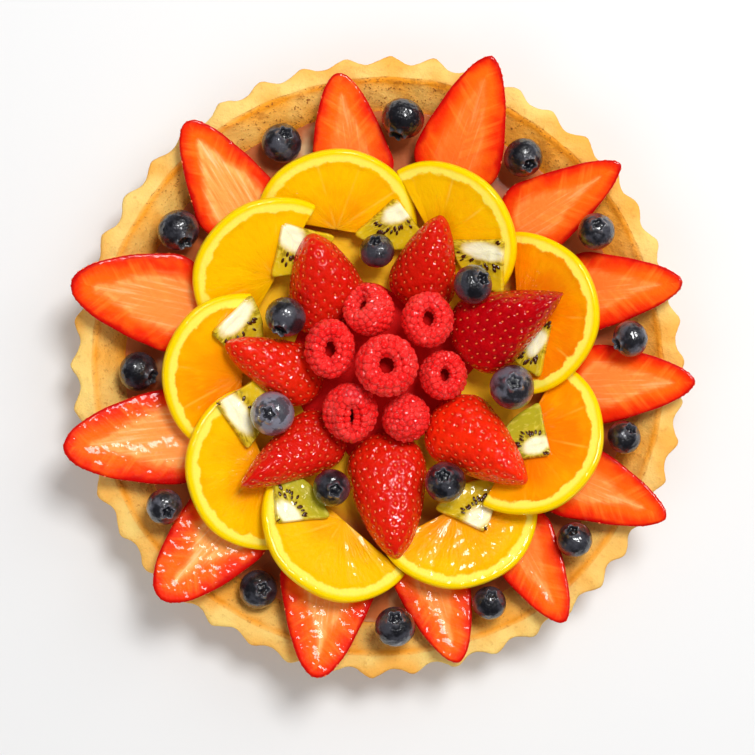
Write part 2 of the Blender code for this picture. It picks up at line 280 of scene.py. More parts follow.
def math_node(operation, *values):
    """The result of an operation, in the tree of the first socket among the values."""
    place = next(value for value in values if isinstance(value, bpy.types.NodeSocket))
    return wire(place, "ShaderNodeMath", *values, operation=operation)


def vector(*values):
    """A vector from its X, Y and Z, at least one of them a socket."""
    place = next(value for value in values if isinstance(value, bpy.types.NodeSocket))
    return wire(place, "ShaderNodeCombineXYZ", *values)


def vector_math(operation, first, second=None):
    """The result of an operation on a vector, or on a vector and a number."""
    place = second if isinstance(second, bpy.types.NodeSocket) else first
    return wire(place, "ShaderNodeVectorMath", first, second, operation=operation)


def times(first, second):
    return math_node("MULTIPLY", first, second)


def plus(first, second):
    return math_node("ADD", first, second)


def minus(first, second):
    return math_node("SUBTRACT", first, second)


def mixed(share, first, second):
    """A colour between two, by a share from 0 to 1."""
    colours = [
        colour if isinstance(colour, bpy.types.NodeSocket) else (*colour, 1)
        for colour in (first, second)
    ]
    return wire(share, "ShaderNodeMix", share, *colours, data_type="RGBA", clamp_factor=True)


def tinted(colour, tint, share, strength=None):
    """The colour mixed with a tint by a share, which a strength may weaken."""
    return mixed(share if strength is None else times(share, strength), colour, tint)


def ramp(value, low, high):
    """0 below one value and 1 above another, smooth between them."""
    return wire(value, "ShaderNodeMapRange", value, low, high, 0.0, 1.0, interpolation_type="SMOOTHSTEP")


def spots(where, scale, detail=3.0, roughness=0.55):
    """Plain fractal noise, about 0.5, with the scale in waves per metre."""
    return wire(where, "ShaderNodeTexNoise", where, scale, detail, roughness)


def stored(here, name, out):
    """An attribute of the mesh in a material: 1 is its vector output and 2 its factor."""
    return wire(here, "ShaderNodeAttribute", attribute_name=name, out=out)


def field(tree, name, kind="FLOAT"):
    """An attribute of the mesh in a Geometry Nodes tree."""
    return wire(tree, "GeometryNodeInputNamedAttribute", name, data_type=kind)


def parts(place):
    """X, Y and Z of a vector."""
    return [wire(place, "ShaderNodeSeparateXYZ", place, out=i) for i in range(3)]


def finished(shader, colour, height=None, depth=0.0, glaze=None, glaze_depth=0.0):
    """Feeds a shader its colour, the fine relief of the surface and the relief of the wet glaze on it."""
    tree = colour.id_data
    tree.links.new(colour, shader.inputs["Base Color"])
    for relief, size, socket in ((height, depth, "Normal"), (glaze, glaze_depth, "Coat Normal")):
        if relief is not None:
            tree.links.new(wire(tree, "ShaderNodeBump", 1.0, size, None, relief), shader.inputs[socket])


reach, height, fluted, browned = np.split(np.maximum(eased(CASE_PROFILE, 4), 0), 4, 1)
cup_mesh = closed_mesh(
    "cup", turned(reach, height, circle(FLUTES * POINTS_PER_FLUTE)) * MM, fluted=np.clip(fluted, 0, 1),
    wall=np.clip((height - CUSTARD_FOOT) / 10, 0, 1), browned=np.clip(browned, 0, 1),
)

press, given = node_tree(
    "pressed case", Flutes="Float", Depth="Float", First_crest="Float", Drift="Float", Out_of_round="Float",
    Dents="Float", Dent_scale="Float", Crumb="Float", Crumb_scale="Float", Pastry="Material",
)
place = wire(press, "GeometryNodeInputPosition")
x, y, z = parts(place)
turn = math_node("ARCTAN2", y, x)


def wave(crests, shift, size):
    angle = math_node("MULTIPLY_ADD", turn, float(crests), -math.radians(shift))
    return times(math_node("COSINE", angle), size)


drift = times(wave(1, 60, 1.0), given["Drift"])
bearing = minus(plus(turn, given["First crest"]), drift)
half_turns = times(times(turn, given["Flutes"]), 0.5)
hollow = math_node("POWER", math_node("ABSOLUTE", math_node("SINE", half_turns)), CREST_ROUNDING)
pressed_in = times(times(hollow, given["Depth"]), field(press, "fluted"))
uneven = plus(plus(wave(2, 0, 1.0), wave(3, 30, 1.0)), wave(8, 90, 0.5))
on_wall = field(press, "wall")
out = vector_math("LENGTH", vector(x, y, 0.0))
far_out = math_node("GREATER_THAN", out, UNEVEN_FROM)
shrunk = plus(pressed_in, times(times(uneven, given["Out of round"]), far_out))
radius = minus(out, shrunk)
lifted = times(plus(wave(3, 70, 0.3 * MM), wave(7, 0, 0.3 * MM)), on_wall)
moved = vector(
    times(radius, math_node("COSINE", bearing)), times(radius, math_node("SINE", bearing)), plus(z, lifted),
)
pressed = wire(press, "GeometryNodeSetPosition", given["Geometry"], True, moved)
place = wire(press, "GeometryNodeInputPosition")
dent = times(minus(spots(place, given["Dent scale"], 2.0), MOSTLY_IN), given["Dents"])
crumb = times(minus(spots(place, given["Crumb scale"], 3.0, 0.7), MOSTLY_IN), given["Crumb"])
push = times(plus(dent, crumb), on_wall)
push = vector_math("SCALE", wire(press, "GeometryNodeInputNormal"), push)
pressed = wire(press, "GeometryNodeSetPosition", pressed, True, None, push)
end_tree(press, made_real(press, pressed, given["Pastry"]))

# Baked shortcrust: pale gold, browner where the attribute "browned" says and in patches, with darker
# grains. Towards the north side the slope is browner, with more of the darker patches and grains.
pastry, shader, here = shaded(
    "baked shortcrust", 0.75, specular=0.2, soft=(0.1, (1.0, 0.5, 0.2), 0.001),
)
broad = spots(here, 42.0, 2.0)
fine = spots(here, 420.0, 4.0, 0.65)
grain = spots(here, 1300.0, 2.0)
browned = stored(here, "browned", 2)
north = ramp(parts(here)[1], 0.03, 0.11)
colour = mixed(ramp(broad, 0.38, 0.64), (0.86, 0.60, 0.175), (0.84, 0.41, 0.072))
patchy = times(browned, math_node("MULTIPLY_ADD", ramp(broad, 0.30, 0.62), 0.5, 0.5))
patchy = times(patchy, math_node("MULTIPLY_ADD", north, 0.5, 1.5))
colour = tinted(colour, (0.92, 0.345, 0.016), patchy)
colour = tinted(colour, (0.62, 0.25, 0.036), ramp(fine, 0.54, 0.72), 0.32)
crease = times(ramp(browned, 0.42, 0.75), ramp(broad, 0.46, 0.60))
colour = tinted(colour, (0.46, 0.140, 0.012), crease, 0.40)
slope = times(ramp(browned, 0.03, 0.3), math_node("MULTIPLY_ADD", north, 0.75, 0.25))
darker_patches = ramp(spots(here, 120.0, 4.0, 0.7), 0.53, 0.64)
colour = tinted(colour, (0.44, 0.135, 0.012), times(slope, darker_patches), 0.55)
dark = plus(slope, 0.10)
dark = times(dark, ramp(plus(grain, fine), 1.10, 1.28))
colour = tinted(colour, (0.30, 0.085, 0.012), dark)
finished(shader, colour, plus(fine, times(grain, 0.35)), 0.0005)

case_mesh = grown(
    cup_mesh, press, Flutes=float(FLUTES), Depth=FLUTE_DEPTH, First_crest=FIRST_CREST, Drift=FLUTE_DRIFT,
    Out_of_round=OUT_OF_ROUND, Dents=3.0 * MM, Dent_scale=60.0, Crumb=0.9 * MM, Crumb_scale=300.0,
    Pastry=pastry,
)
piece("pastry_crust", case_mesh, "baked_pastry", "pastry_case")

# ---------------- custard
# Smooth pale custard poured into the case, a little higher in the middle and drawn up where it meets the
# wall.

CUSTARD_RADIUS = 93.6
CUSTARD_AROUND = 180
EDGE_FROM = 80
profile = eased(
    (
        (0, CUSTARD_FOOT), (60, CUSTARD_FOOT), (CUSTARD_RADIUS - 4, CUSTARD_FOOT),
        (CUSTARD_RADIUS - 2.2, 6.4), (CUSTARD_RADIUS - 1.0, 12), (CUSTARD_RADIUS + 1.3, 18.2),
        (CUSTARD_RADIUS - 0.4, 18.8), (CUSTARD_RADIUS - 6, 18.9), (60, 20.4), (20, 20.8), (0, 20.8),
    ),
    4,
)
distance, height = profile[:, :1], profile[:, 1:]
turns = circle(CUSTARD_AROUND)
# Its edge is as uneven as the case.
shifted = turns - FIRST_CREST + FLUTE_DRIFT * np.cos(turns - math.radians(60))
inward = np.cos(2 * shifted) + np.cos(3 * shifted - math.radians(30))
inward += 0.5 * np.cos(8 * shifted - math.radians(90))
reach = distance - OUT_OF_ROUND / MM * inward * (distance > EDGE_FROM)
ripple = 0.25 * np.cos(5 * turns + 0.08 * distance) * np.sin(0.11 * distance + 2 * turns)
ripple = ripple * np.clip((height - 15) / 4, 0, 1) * np.clip(distance / 30, 0, 1)
custard = turned(reach, height + ripple, turns)

cream, shader, here = shaded(
    "custard cream", 0.5, specular=0.1, coat=(0.1, 0.12), soft=(0.1, (1.0, 0.7, 0.35), 0.002),
)
cloud = spots(here, 60.0, 3.0)
# Beyond 52 to 66 mm from the middle the custard is painted red-brown, with cream left in patches: a painted
# shade for the dark gaps between the fruit.
painted_gap_shade = ramp(spots(here, 34.0, 3.0, 0.6), 0.80, 0.62)
from_centre = vector_math("LENGTH", here)
painted_gap_shade = times(painted_gap_shade, ramp(from_centre, 0.052, 0.066))
colour = mixed(cloud, (0.96, 0.66, 0.30), (0.98, 0.80, 0.46))
golden = times(ramp(from_centre, 0.031, 0.035), ramp(from_centre, 0.072, 0.060))
colour = tinted(colour, (0.98, 0.52, 0.010), golden)
colour = tinted(colour, (0.46, 0.075, 0.004), painted_gap_shade, 0.92)
finished(shader, colour, spots(here, 250.0, 2.0), 0.0004)
piece("custard_filling", closed_mesh("custard", custard * MM, cream), "custard", "custard")

# Red juice and glaze run together in a shallow pool on the custard, under the raspberries.
reach = 32.5 + 2.6 * np.sin(3 * turns + 1.2) + 1.9 * np.sin(7 * turns + 0.4) + 1.1 * np.sin(13 * turns)
share, height = np.hsplit(np.array((
    (0, 20.2), (0.5, 20.2), (0.94, 20.2), (0.99, 20.6), (1.0, 21.0), (0.97, 21.5), (0.90, 21.8),
    (0.7, 21.9), (0.35, 21.9), (0, 21.9),
)), 2)
juice, shader, here = shaded("berry juice", 0.5, specular=0.05, coat=(0.2, 0.06))
colour = mixed(spots(here, 120.0, 3.0), (0.90, 0.010, 0.010), (0.60, 0.003, 0.003))
finished(shader, colour, spots(here, 220.0, 2.0), 0.0004)
piece("berry_juice", closed_mesh("juice", turned(reach * share, height, turns) * MM, juice), "raspberry")

# ---------------- sliced strawberries
# Thick slices cut lengthwise from large strawberries, laid cut side up with their tips out over the rim:
# red at the skin, orange within, with a pale core and the pale strands that run from it to the seeds.

SLICE_AROUND = 144
# Thickness as a share of the width, and how much of its solid's outline a berry takes.
SLICE_THICKNESS = 0.26
SMALLER = 0.989
# How pale the core is, how far the core reaches from the hull (share of length), and its width (share).
SLICE_LOOKS = (
    (0.36, 0.80, 0.44), (0.22, 0.86, 0.42), (0.42, 0.70, 0.46), (0.34, 0.78, 0.46), (0.52, 0.80, 0.46),
    (0.60, 0.74, 0.42), (0.42, 0.74, 0.42), (0.58, 0.76, 0.40), (0.90, 0.72, 0.50), (1.25, 0.66, 0.54),
    (0.85, 0.78, 0.54), (0.66, 0.84, 0.50), (1.30, 0.82, 0.52),
)


def flat_faced(node):
    """A node's solid as a bmesh whose flat faces are each in one piece."""
    solid = bmesh.new()
    solid.from_mesh(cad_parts[node].data)
    bmesh.ops.remove_doubles(solid, verts=solid.verts, dist=0.005 * MM)
    bmesh.ops.dissolve_limit(solid, angle_limit=math.radians(0.6), verts=solid.verts, edges=solid.edges)
    return solid


def cut_berry(node, cut_up):
    """Where a strawberry's solid lies: the matrix from its own axes, its length, and its cut outline.

    Its own axes start in the middle of the hull, with +X to the tip and +Z up out of the cut or the skin.
    """
    solid = flat_faced(node)
    cut = max(solid.faces, key=lambda face: face.calc_area())
    corners = np.array([v.co for v in cut.verts])
    up = np.array(cut.normal) * (1 if cut_up else -1)
    solid.free()
    apart = np.linalg.norm(corners[:, None] - corners[None], axis=-1)
    ends = np.unravel_index(apart.argmax(), apart.shape)
    tip, hull = sorted(ends, key=lambda i: -np.hypot(*corners[i, :2]))
    along = (corners[tip] - corners[hull]) / apart.max()
    axes = np.stack((along, np.cross(up, along), up), 1)
    flat = (corners - corners[hull]) @ axes
    order = np.argsort(np.arctan2(flat[:, 1], flat[:, 0] - apart.max() / 2))
    flat = np.roll(flat[order], -list(order).index(tip), 0)[:, :2]
    return axes, corners[hull], apart.max(), flat


def smooth_outline(points, count):
    """A closed outline through the points, evenly stepped between them."""
    return curved(np.vstack((points[-1:], points, points[:2])), count // len(points))


def drawn_in(outline, share, low, high):
    """The outline drawn in to the berry's middle line, which runs from low to high along its length."""
    middle = np.stack((np.clip(outline[:, 0], low, high), np.zeros(len(outline))), -1)
    return middle + (outline - middle) * share


# Strawberry skin and cut flesh in one material. "berry" holds the place along the berry in mm, across it in
# mm and from the middle line (0) to the rim (1), "skin" is 1 on the skin, and "looks" holds the core's
# paleness, reach in mm and width.
strawberry, shader, here = shaded(
    "strawberry flesh", 0.4, specular=0.06, coat=(0.35, 0.06), soft=(0.12, (1.0, 0.2, 0.06), 0.002),
)
along, across, rim = parts(stored(here, "berry", 1))
pale, reach, width = parts(stored(here, "looks", 1))
skin = stored(here, "skin", 2)
wobble = minus(spots(here, 130.0, 3.0), 0.5)
rim = math_node("MULTIPLY_ADD", wobble, 0.30, rim)
side = math_node("ABSOLUTE", across)
strand_place = vector(minus(along, times(side, 0.85)), times(side, 0.10), math_node("SIGN", across))
strands = spots(strand_place, 0.36, 2.0)
fibres = spots(vector(times(along, 0.06), across, 0.0), 0.7, 3.0)
cloudy = spots(here, 90.0, 2.0)
colour = mixed(ramp(rim, 0.34, 0.86), (0.90, 0.115, 0.003), (0.80, 0.020, 0.001))
colour = tinted(colour, (0.92, 0.155, 0.005), ramp(cloudy, 0.45, 0.70), 0.5)
colour = tinted(colour, (0.52, 0.002, 0.001), ramp(rim, 0.82, 0.98))
colour = tinted(
    colour, (0.95, 0.26, 0.025), times(ramp(strands, 0.50, 0.72), times(ramp(rim, 1.0, 0.55), 0.34)),
)
core_edge = times(width, ramp(along, times(reach, 1.15), times(reach, 0.35)))
inside = minus(core_edge, rim)
core = times(ramp(inside, -0.26, 0.16), pale)
colour = tinted(colour, (0.94, 0.36, 0.080), core, 0.9)
ring = minus(1.0, ramp(math_node("ABSOLUTE", inside), 0.0, 0.12))
ring = times(times(ring, pale), ramp(strands, 0.30, 0.60))
colour = tinted(colour, (0.98, 0.49, 0.14), ring, 0.5)
heart = times(ramp(fibres, 0.50, 0.70), core)
colour = tinted(colour, (0.96, 0.56, 0.25), heart, 0.75)
slit = times(ramp(fibres, 0.47, 0.33), core)
colour = tinted(colour, (0.90, 0.20, 0.025), slit, 0.5)
mottled = spots(here, 120.0, 3.0)
skin_colour = mixed(ramp(mottled, 0.38, 0.65), (0.52, 0.003, 0.002), (0.38, 0.001, 0.003))
colour = tinted(colour, skin_colour, skin)
relief = plus(strands, spots(here, 700.0, 2.0))
finished(shader, colour, relief, 0.0002, spots(here, 300.0, 1.0), 0.00035)

seed_gold, shader, here = shaded("strawberry seed", 0.35, coat=(0.8, 0.08))
finished(shader, mixed(spots(here, 300.0), (0.80, 0.065, 0.013), (0.90, 0.26, 0.065)))

# Seeds spread evenly over the skin, each in a dimple of its own.
seeded, given = node_tree(
    "seeded skin", Spacing="Float", Dimple="Float", Dimple_width="Float", Seed_width="Float", Sunk="Float",
    Draw="Int", Seed_finish="Material",
)
on_skin = field(seeded, "skin")
is_skin = math_node("GREATER_THAN", on_skin, 0.5)
crowd = math_node("DIVIDE", 9.0, times(given["Spacing"], given["Spacing"]))
scatter = seeded.nodes.new("GeometryNodeDistributePointsOnFaces")
scatter.distribute_method = "POISSON"
for socket, value in (
    ("Mesh", given["Geometry"]), ("Selection", is_skin), ("Distance Min", given["Spacing"]),
    ("Density Max", crowd), ("Seed", given["Draw"]),
):
    seeded.links.new(value, scatter.inputs[socket])
nearest = seeded.nodes.new("GeometryNodeProximity")
nearest.target_element = "POINTS"
seeded.links.new(scatter.outputs["Points"], nearest.inputs[0])
near = math_node("DIVIDE", nearest.outputs["Distance"], given["Dimple width"])
dip = math_node("POWER", math.e, times(times(near, near), -1.0))
dip = times(times(dip, given["Dimple"]), on_skin)
push = vector_math("SCALE", wire(seeded, "GeometryNodeInputNormal"), times(dip, -1.0))
dimpled = wire(seeded, "GeometryNodeSetPosition", given["Geometry"], True, None, push)
bead = wire(seeded, "GeometryNodeMeshUVSphere", 8, 5, given["Seed width"])
lengthwise = field(seeded, "lengthwise", "FLOAT_VECTOR")
turned_seed = wire(
    seeded, "FunctionNodeAlignRotationToVector", scatter.outputs["Rotation"], 1.0, lengthwise, axis="X",
    pivot_axis="Z",
)
seeds = wire(seeded, "GeometryNodeInstanceOnPoints", scatter.outputs["Points"], True, bead, False, 0,
             turned_seed, (1.35, 0.85, 0.55))
depth = vector(0.0, 0.0, times(given["Sunk"], -1.0))
seeds = wire(seeded, "GeometryNodeTranslateInstances", seeds, True, depth, True)
seeds = made_real(seeded, seeds, given["Seed finish"])
joined = seeded.nodes.new("GeometryNodeJoinGeometry")
seeded.links.new(seeds, joined.inputs[0])
seeded.links.new(dimpled, joined.inputs[0])
end_tree(seeded, joined.outputs[0])


def berry_mesh(node, cut_up, body, spine, looks, uneven, steps_around, finish):
    """The smooth body of a cut strawberry. body lists (drawn in, height in mm, on the skin), top first."""
    axes, hull, length, corners = cut_berry(node, cut_up)
    outline = smooth_outline(corners, steps_around) * SMALLER
    low, high = spine[0] * length, spine[1] * length
    turn = circle(steps_around)
    phase = sum(ord(letter) for letter in node)
    slow, quick = np.sin(3 * turn + phase), np.sin(11 * turn + 2 * phase)
    ruffle = 1 - uneven * (0.5 + 0.5 * slow) - 0.4 * uneven * (0.5 + 0.5 * quick)
    rings, place, skins = [], [], []
    for share, height, on_skin in body:
        ring = drawn_in(outline, share, low, high)
        middle = drawn_in(outline, 0, low, high)
        ring = middle + (ring - middle) * ruffle[:, None]
        flat = np.column_stack((ring, np.full(len(ring), height * MM)))
        rings.append(hull + flat @ axes.T)
        place.append(np.column_stack((ring / MM, np.full(len(ring), min(share, 1.0)))))
        skins.append([on_skin])
    pale, reach, width = looks
    return closed_mesh(
        node, rings[::-1], finish, berry=place[::-1], skin=skins[::-1], lengthwise=[[axes[:, 0]]],
        looks=[[(pale, reach * length / MM, width)]],
    )


for number, looks in enumerate(SLICE_LOOKS, 1):
    node = f"strawberry_slice_{number:02d}"
    corners = cut_berry(node, True)[3]
    thick = SLICE_THICKNESS * 2 * abs(corners[:, 1]).max() / MM
    # The cut dips a little at its middle and falls off at its edge, and the skin rounds in under it.
    face = [(f, -0.35 * max(0, f - 0.86) ** 2 / 0.0196 - 0.25 * math.exp(-((f / 0.2) ** 2)), 0.0)
            for f in np.linspace(0, 1, 22)]
    under = [((1 - q**2.8) ** 0.42, -0.35 - (thick - 0.35) * q, 1.0) for q in np.linspace(0.06, 1, 15)]
    mesh = berry_mesh(node, True, face + under, (0.24, 0.80), looks, 0.03, SLICE_AROUND, strawberry)
    mesh = grown(
        mesh, seeded, Spacing=2.4 * MM, Dimple=0.35 * MM, Dimple_width=0.7 * MM, Seed_width=0.50 * MM,
        Sunk=0.12 * MM, Draw=number, Seed_finish=seed_gold,
    )
    piece(f"sliced_{node}", mesh, "strawberry", node)

# ---------------- half slices of orange
# Half slices of orange overlapped in a ring, rind outwards: bright rind, a paler scalloped pith, and flesh
# in segments of long juice sacs parted by thin membranes. Each one hides the inner end of the strawberries
# below.

SEGMENT = math.radians(36)
SLICE_STEPS = 132
ORANGE_RADIUS = 30.2
ORANGE_THICKNESS = 4.0
# Where each slice's membranes start (degrees) and how deep its orange is.
ORANGE_LOOKS = (
    (10, 0.12), (25, 0.02), (4, 0.65), (18, 0.35), (30, 0.0), (12, 0.40), (22, 0.90), (8, 1.0), (28, 0.10),
)


def crossed(first, second):
    return first[0] * second[1] - first[1] * second[0]


def orange_place(node):
    """Where a half slice lies: its axes (+X to the rind, +Z up), the middle of its cut, and its kiwi.

    The kiwi's place is its point, where the lines of its two long sides meet, its heading and its height.
    """
    solid = flat_faced(node)
    foot = max(solid.faces, key=lambda face: face.calc_area())
    up = -foot.normal.copy()
    cut = max(foot.edges, key=lambda edge: edge.calc_length())
    left, right = (corner.co.copy() for corner in cut.verts)
    middle = (left + right) / 2
    along = (left - right).normalized()
    out = foot.calc_center_median() - middle
    out = (out - out.dot(along) * along).normalized()
    side = up.cross(out)
    tops = [face for face in solid.faces if face.normal.dot(up) > 0.999]
    kiwi_top = max(tops, key=lambda face: (face.verts[0].co - middle).dot(up))
    height = (kiwi_top.verts[0].co - middle).dot(up)
    edges = sorted(kiwi_top.edges, key=lambda edge: -edge.calc_length())[:2]
    corners = [[corner.co - middle for corner in edge.verts] for edge in edges]
    flat = np.array([[(corner.dot(out), corner.dot(side)) for corner in pair] for pair in corners])
    solid.free()
    start, other = flat[:, 0]
    way, other_way = flat[:, 1] - flat[:, 0]
    point = start + crossed(other - start, other_way) / crossed(way, other_way) * way
    heading = flat.reshape(-1, 2).mean(0) - point
    axes = np.stack((out, side, up), 1)
    return axes, np.array(middle), point, math.atan2(heading[1], heading[0]), height


def between(first, rows, last):
    """The rows with a row of nothing but the first in front and one of nothing but the last behind."""
    return [[first] * len(rows[0])] + rows + [[last] * len(rows[0])]


orange_finish, shader, here = shaded(
    "orange flesh and rind", 0.3, specular=0.06, coat=(0.5, 0.06), soft=(0.2, (1.0, 0.45, 0.02), 0.002),
)
from_middle, turn_in_slice, deepness = parts(stored(here, "slice", 1))
wobble = minus(spots(here, 260.0, 3.0), 0.5)
in_segment = math_node("PINGPONG", math_node("DIVIDE", turn_in_slice, SEGMENT), 0.5)
scallop = times(ramp(in_segment, 0.24, 0.0), 0.7)
pith = ramp(plus(math_node("MULTIPLY_ADD", wobble, 3.4, from_middle), scallop), 25.6, 26.5)
rind = ramp(math_node("MULTIPLY_ADD", wobble, 0.6, from_middle), 27.6, 29.0)
sacs = spots(vector(times(from_middle, 0.10), times(turn_in_slice, 4.5), deepness), 2.0, 3.0)
cloudy = spots(here, 48.0, 2.0)
outward = ramp(from_middle, 26.0, 8.0)
deep = plus(deepness, times(minus(cloudy, 0.5), 1.5))
deep = plus(deep, math_node("MULTIPLY_ADD", outward, 0.5, -0.25))
colour = mixed(deep, (0.88, 0.465, 0.0), (0.84, 0.185, 0.0))
colour = tinted(colour, (0.92, 0.52, 0.004), ramp(sacs, 0.50, 0.74), 0.16)
colour = tinted(colour, (0.86, 0.20, 0.0), ramp(sacs, 0.45, 0.30), 0.12)
across_mm = times(times(in_segment, SEGMENT), from_middle)
membrane = times(ramp(across_mm, 0.7, 0.1), ramp(cloudy, 0.44, 0.62))
colour = tinted(colour, (0.93, 0.62, 0.08), membrane, 0.25)
colour = tinted(colour, (0.90, 0.74, 0.095), pith)
colour = tinted(colour, (0.88, 0.58, 0.0), rind)
relief = plus(sacs, times(spots(here, 600.0, 2.0), 0.3))
finished(shader, colour, relief, 0.0003, spots(here, 300.0, 0.6), 0.00045)

# A slice's section runs from the middle of its foot round the rind to the middle of its top.
radius, thick = ORANGE_RADIUS, ORANGE_THICKNESS
edge = [
    (radius - 0.5, 0.0), (radius - 0.1, 0.6), (radius, 1.4), (radius, thick - 1.3),
    (radius - 0.25, thick - 0.5), (radius - 0.8, thick - 0.1),
]
top = [(r, thick) for r in np.linspace(radius - 1.5, 0.0, 46)]
section = [(0.0, 0.0), (10.0, 0.0), (20.0, 0.0), (26.0, 0.0)] + edge + top
angle = np.linspace(-math.pi / 2, math.pi / 2, SLICE_STEPS)
kiwi_places = []
for number, (start, deep) in enumerate(ORANGE_LOOKS, 1):
    node = f"orange_and_kiwi_{number:02d}"
    axes, middle, point, heading, height = orange_place(node)
    kiwi_places.append((axes, middle, point / MM, heading, height / MM))
    segments = (angle + math.radians(start)) / SEGMENT
    in_segment = np.abs(segments - np.round(segments))
    uneven = 0.25 * np.sin(3 * angle + start) + 0.15 * np.sin(7 * angle + 2 * start)
    rings, place = [], []
    for a, across_segment, shift in zip(angle, in_segment, uneven):
        ring = []
        for r, h in section:
            # The flesh lies a little below the pith and bulges between the membranes.
            if h == thick:
                flesh = min(max((25.6 - r) / 1.6, 0), 1)
                domed = 0.24 * math.sin(math.pi * min(across_segment * 2, 1) / 2) * min(r / 12, 1)
                sac = math.sin(41 * a + 3 * math.sin(0.5 * r)) * math.sin(0.9 * r + 5 * math.sin(9 * a))
                h = thick - flesh * (0.42 - domed - 0.05 * sac * min(r / 10, 1))
            reach = r + shift * r / radius
            ring.append((reach * math.cos(a), reach * math.sin(a), h))
        rings.append(ring)
        place.append([(r, a + math.radians(start), deep) for r, _ in section])
    rings = between((0.0, -radius / 2, thick / 2), rings, (0.0, radius / 2, thick / 2))
    place = between((14.0, -1.5, deep), place, (14.0, 1.5, deep))
    world = middle + (np.array(rings) * MM) @ axes.T
    mesh = closed_mesh(node, world, orange_finish, slice=place)
    piece(f"half_slice_{number:02d}", mesh, "orange", node)

# ---------------- kiwi wedges
# Thin wedges of kiwi face to face on the orange, mostly under the berries: a cream core that the knife
# crossed at a slant, dark seeds in a fan round it, and glassy green-gold flesh. The seeds are set by nodes.

# For each wedge, from its point: the core's middle along and across (mm), its tilt, half length and half
# width, and how green the flesh is.
KIWI_CORES = (
    (5.2, 1.8, -60, 6.5, 3.6, 0.1), (6.0, 0.0, 8, 7.0, 4.5, 0.2), (9.2, 5.3, 45, 8.0, 3.9, 0.3),
    (8.3, -1.8, -44, 9.0, 3.8, 0.1), (5.5, -1.0, -95, 6.0, 3.5, 0.9), (5.9, 0.4, -82, 5.5, 3.8, 0.2),
    (6.2, 0.0, 53, 5.5, 3.2, 0.9), (8.8, 3.0, 22, 5.5, 3.0, 0.3), (8.3, -1.9, -55, 8.5, 3.3, 0.1),
)
KIWI_REACH = 20.0
KIWI_MIDDLE = np.array((9.0, 0.0))
KIWI_FOOT = 3.7
KIWI_OPENING = math.radians(84)
KIWI_POINTS = 150
KIWI_SEEDS = 84

kiwi_finish, shader, here = shaded(
    "kiwi flesh", 0.28, specular=0.06, coat=(0.8, 0.05), soft=(0.25, (0.8, 0.8, 0.1), 0.002),
)
core_away, core_turn, green = parts(stored(here, "core", 1))
wobble = minus(spots(here, 300.0, 3.0), 0.5)
away = math_node("MULTIPLY_ADD", wobble, 0.45, core_away)
rays = spots(vector(times(core_away, 0.35), core_turn, 0.0), 6.0, 2.0)
flesh = mixed(green, (0.62, 0.40, 0.008), (0.52, 0.42, 0.020))
flesh = mixed(ramp(away, 1.5, 3.0), flesh, mixed(green, (0.78, 0.50, 0.008), (0.40, 0.36, 0.018)))
colour = mixed(times(ramp(rays, 0.50, 0.70), 0.45), flesh, (0.80, 0.66, 0.12))
dark_band = times(ramp(away, 1.0, 1.25), ramp(away, 1.9, 1.4))
dark_band = times(dark_band, ramp(rays, 0.56, 0.40))
colour = tinted(colour, (0.20, 0.13, 0.010), dark_band, 0.7)
colour = tinted(colour, (0.98, 0.91, 0.61), ramp(away, 1.22, 0.66))
finished(shader, colour, rays, 0.0002, spots(here, 380.0, 0.6), 0.0006)

seed_dark, shader, here = shaded("kiwi seed", 0.25, coat=(0.6, 0.06))
finished(shader, mixed(spots(here, 400.0), (0.035, 0.006, 0.002), (0.09, 0.022, 0.004)))


def polar(away, turn):
    """A flat place from its distance and its bearing."""
    return away * math.cos(turn), away * math.sin(turn)


def swung(across, up, turn):
    """A flat place, or a row of them, swung round the origin."""
    return np.array((across * math.cos(turn) - up * math.sin(turn),
                     across * math.sin(turn) + up * math.cos(turn)))


